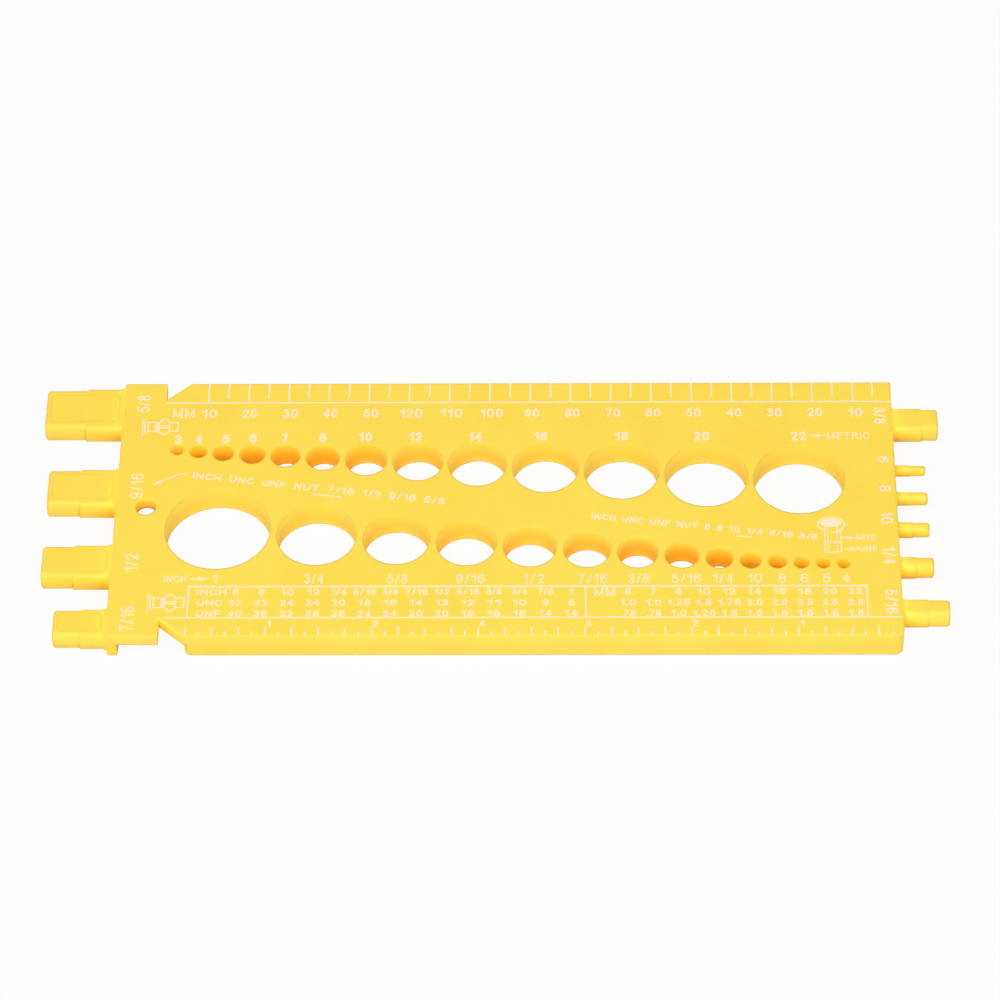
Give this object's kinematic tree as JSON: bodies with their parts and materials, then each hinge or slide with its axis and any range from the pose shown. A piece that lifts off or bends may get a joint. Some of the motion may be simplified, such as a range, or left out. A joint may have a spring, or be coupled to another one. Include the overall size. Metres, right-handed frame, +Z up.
{
  "type": "bolt thread gauge",
  "caption": "Flat moulded plastic gauge that sizes bolts through its plate holes and nuts on its stepped end posts, with rulers along both long edges.",
  "frame": {"origin": "on the standing plane, under the middle of the overall length and width", "axes": "+X along the length, from the large-post flange to the small-post end; +Y across, from the inch ruler to the millimetre ruler; +Z up through the printed face"},
  "size_m": [0.2214, 0.082, 0.0071],
  "materials": {
    "gauge": "satin moulded"
  },
  "bodies": {
    "root": {"gauge": "gauge"}
  },
  "joints": []
}
